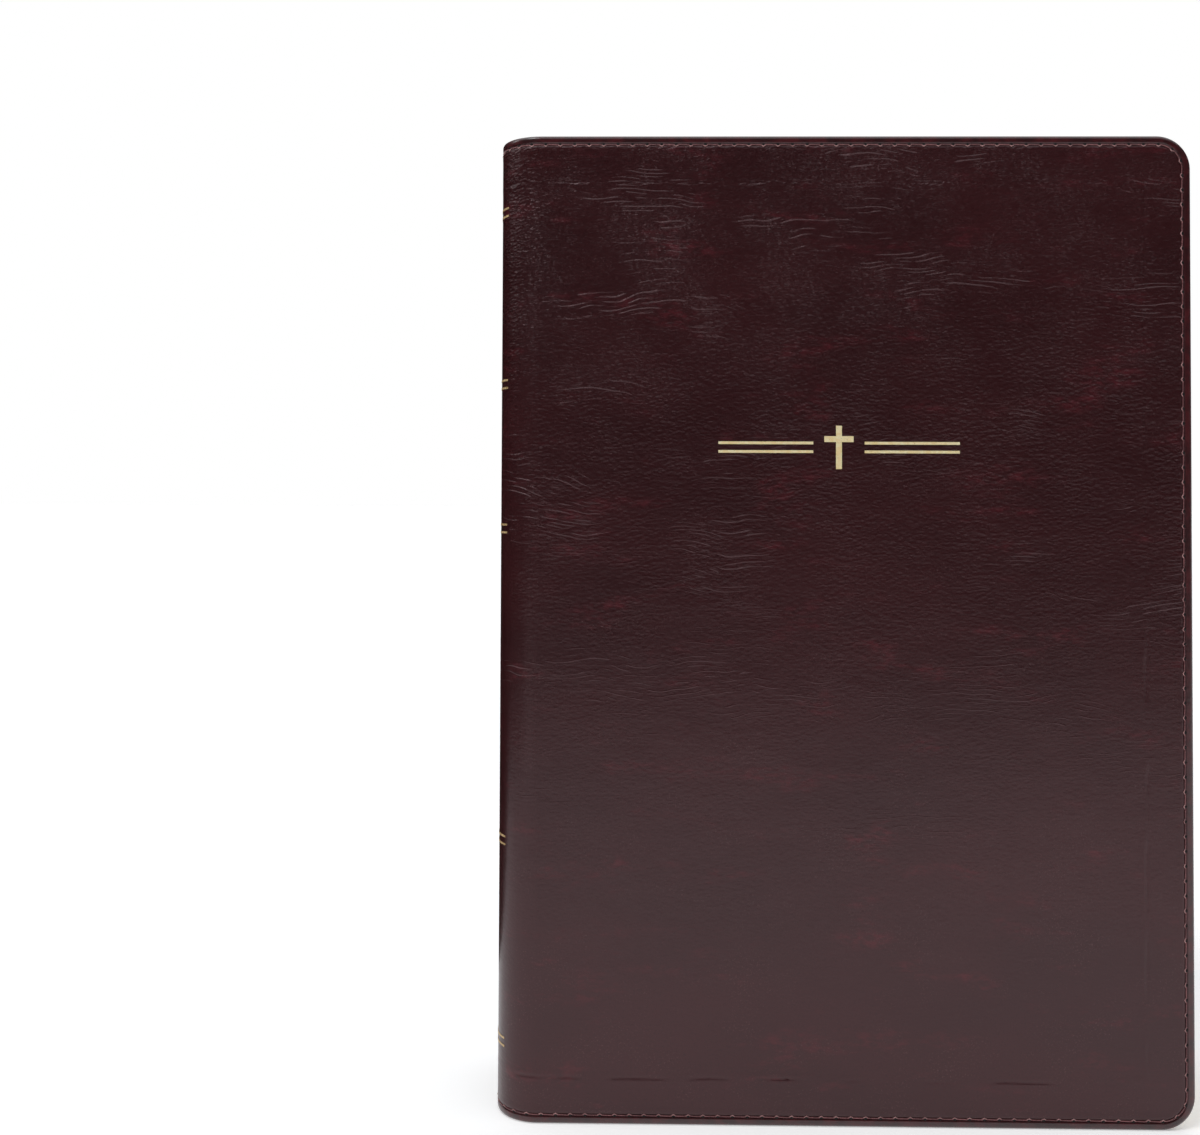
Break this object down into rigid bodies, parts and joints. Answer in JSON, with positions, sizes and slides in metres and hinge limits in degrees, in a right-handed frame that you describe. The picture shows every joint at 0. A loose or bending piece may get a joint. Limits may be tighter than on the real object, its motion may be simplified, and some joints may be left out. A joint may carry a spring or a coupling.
{
  "type": "bible",
  "caption": "Thick closed book in a soft stitched leather-look binding with a rounded spine, hinged covers and sewn page sections that fan as a cover opens.",
  "frame": {"origin": "middle of the footprint of the closed book standing on its tail edge", "axes": "+Z from tail to head, +X from spine to fore-edge, +Y from front cover to back cover"},
  "size_m": [0.176, 0.045, 0.25],
  "materials": {
    "cover_leather": "gloss",
    "flexible_board": "matte",
    "lining_paper": "satin",
    "stitching_thread": "satin",
    "gold_foil": "polished",
    "page_paper": "matte",
    "spine_paper": "matte",
    "gauze": "matte",
    "sewing_thread": "matte",
    "headband_silk": "satin"
  },
  "bodies": {
    "root": {"spine_skin": "cover_leather", "spine_inlay": "flexible_board", "spine_stitching": "stitching_thread", "spine_foil_lines": "gold_foil", "spine_paper_lining": "spine_paper", "spine_gauze": "gauze", "sewing_threads": "sewing_thread", "headband": "headband_silk", "tailband": "headband_silk", "front_endsheet_fold": "lining_paper", "back_endsheet_fold": "lining_paper", "front_section_folds": "page_paper", "back_section_folds": "page_paper", "page_section_07": "page_paper", "page_section_08": "page_paper", "page_section_09": "page_paper", "page_section_10": "page_paper", "page_section_11": "page_paper", "page_section_12": "page_paper"},
    "front_cover": {"front_cover_skin": "cover_leather", "front_cover_board": "flexible_board", "front_cover_lining": "lining_paper", "front_cover_stitching": "stitching_thread", "front_cover_ornament": "gold_foil"},
    "back_cover": {"back_cover_skin": "cover_leather", "back_cover_board": "flexible_board", "back_cover_lining": "lining_paper", "back_cover_stitching": "stitching_thread"},
    "front_flyleaf_leaf": {"front_flyleaf": "lining_paper"},
    "back_flyleaf_leaf": {"back_flyleaf": "lining_paper"},
    "section_01_leaves": {"page_section_01": "page_paper"},
    "section_02_leaves": {"page_section_02": "page_paper"},
    "section_03_leaves": {"page_section_03": "page_paper"},
    "section_04_leaves": {"page_section_04": "page_paper"},
    "section_05_leaves": {"page_section_05": "page_paper"},
    "section_06_leaves": {"page_section_06": "page_paper"},
    "section_18_leaves": {"page_section_18": "page_paper"},
    "section_17_leaves": {"page_section_17": "page_paper"},
    "section_16_leaves": {"page_section_16": "page_paper"},
    "section_15_leaves": {"page_section_15": "page_paper"},
    "section_14_leaves": {"page_section_14": "page_paper"},
    "section_13_leaves": {"page_section_13": "page_paper"}
  },
  "joints": [
    {"name": "front_cover_hinge", "type": "hinge", "parent": "root", "child": "front_cover", "pos_m": [-0.0763, -0.0225, 0], "axis": [0, 0, -1], "range_deg": [0, 175]},
    {"name": "front_flyleaf_turn", "type": "hinge", "parent": "root", "child": "front_flyleaf_leaf", "pos_m": [-0.06894, -0.01985, 0], "axis": [0, 0, -1], "range_deg": [0, 140]},
    {"name": "section_01_turn", "type": "hinge", "parent": "root", "child": "section_01_leaves", "pos_m": [-0.06659, -0.01856, 0], "axis": [0, 0, -1], "range_deg": [0, 122.5]},
    {"name": "section_02_turn", "type": "hinge", "parent": "root", "child": "section_02_leaves", "pos_m": [-0.06374, -0.01638, 0], "axis": [0, 0, -1], "range_deg": [0, 105]},
    {"name": "section_03_turn", "type": "hinge", "parent": "root", "child": "section_03_leaves", "pos_m": [-0.06165, -0.01419, 0], "axis": [0, 0, -1], "range_deg": [0, 87.5]},
    {"name": "section_04_turn", "type": "hinge", "parent": "root", "child": "section_04_leaves", "pos_m": [-0.06012, -0.01201, 0], "axis": [0, 0, -1], "range_deg": [0, 70]},
    {"name": "section_05_turn", "type": "hinge", "parent": "root", "child": "section_05_leaves", "pos_m": [-0.05904, -0.00983, 0], "axis": [0, 0, -1], "range_deg": [0, 52.5]},
    {"name": "section_06_turn", "type": "hinge", "parent": "root", "child": "section_06_leaves", "pos_m": [-0.05836, -0.00764, 0], "axis": [0, 0, -1], "range_deg": [0, 35]},
    {"name": "back_cover_hinge", "type": "hinge", "parent": "root", "child": "back_cover", "pos_m": [-0.0763, 0.0225, 0], "axis": [0, 0, 1], "range_deg": [0, 175]},
    {"name": "back_flyleaf_turn", "type": "hinge", "parent": "root", "child": "back_flyleaf_leaf", "pos_m": [-0.06894, 0.01985, 0], "axis": [0, 0, 1], "range_deg": [0, 140]},
    {"name": "section_18_turn", "type": "hinge", "parent": "root", "child": "section_18_leaves", "pos_m": [-0.06659, 0.01856, 0], "axis": [0, 0, 1], "range_deg": [0, 122.5]},
    {"name": "section_17_turn", "type": "hinge", "parent": "root", "child": "section_17_leaves", "pos_m": [-0.06374, 0.01638, 0], "axis": [0, 0, 1], "range_deg": [0, 105]},
    {"name": "section_16_turn", "type": "hinge", "parent": "root", "child": "section_16_leaves", "pos_m": [-0.06165, 0.01419, 0], "axis": [0, 0, 1], "range_deg": [0, 87.5]},
    {"name": "section_15_turn", "type": "hinge", "parent": "root", "child": "section_15_leaves", "pos_m": [-0.06012, 0.01201, 0], "axis": [0, 0, 1], "range_deg": [0, 70]},
    {"name": "section_14_turn", "type": "hinge", "parent": "root", "child": "section_14_leaves", "pos_m": [-0.05904, 0.00983, 0], "axis": [0, 0, 1], "range_deg": [0, 52.5]},
    {"name": "section_13_turn", "type": "hinge", "parent": "root", "child": "section_13_leaves", "pos_m": [-0.05836, 0.00764, 0], "axis": [0, 0, 1], "range_deg": [0, 35]}
  ],
  "couplings": [
    {"joint": "front_flyleaf_turn", "follows": "front_cover_hinge", "ratio": 0.8},
    {"joint": "section_01_turn", "follows": "front_cover_hinge", "ratio": 0.7},
    {"joint": "section_02_turn", "follows": "front_cover_hinge", "ratio": 0.6},
    {"joint": "section_03_turn", "follows": "front_cover_hinge", "ratio": 0.5},
    {"joint": "section_04_turn", "follows": "front_cover_hinge", "ratio": 0.4},
    {"joint": "section_05_turn", "follows": "front_cover_hinge", "ratio": 0.3},
    {"joint": "section_06_turn", "follows": "front_cover_hinge", "ratio": 0.2},
    {"joint": "back_flyleaf_turn", "follows": "back_cover_hinge", "ratio": 0.8},
    {"joint": "section_18_turn", "follows": "back_cover_hinge", "ratio": 0.7},
    {"joint": "section_17_turn", "follows": "back_cover_hinge", "ratio": 0.6},
    {"joint": "section_16_turn", "follows": "back_cover_hinge", "ratio": 0.5},
    {"joint": "section_15_turn", "follows": "back_cover_hinge", "ratio": 0.4},
    {"joint": "section_14_turn", "follows": "back_cover_hinge", "ratio": 0.3},
    {"joint": "section_13_turn", "follows": "back_cover_hinge", "ratio": 0.2}
  ]
}
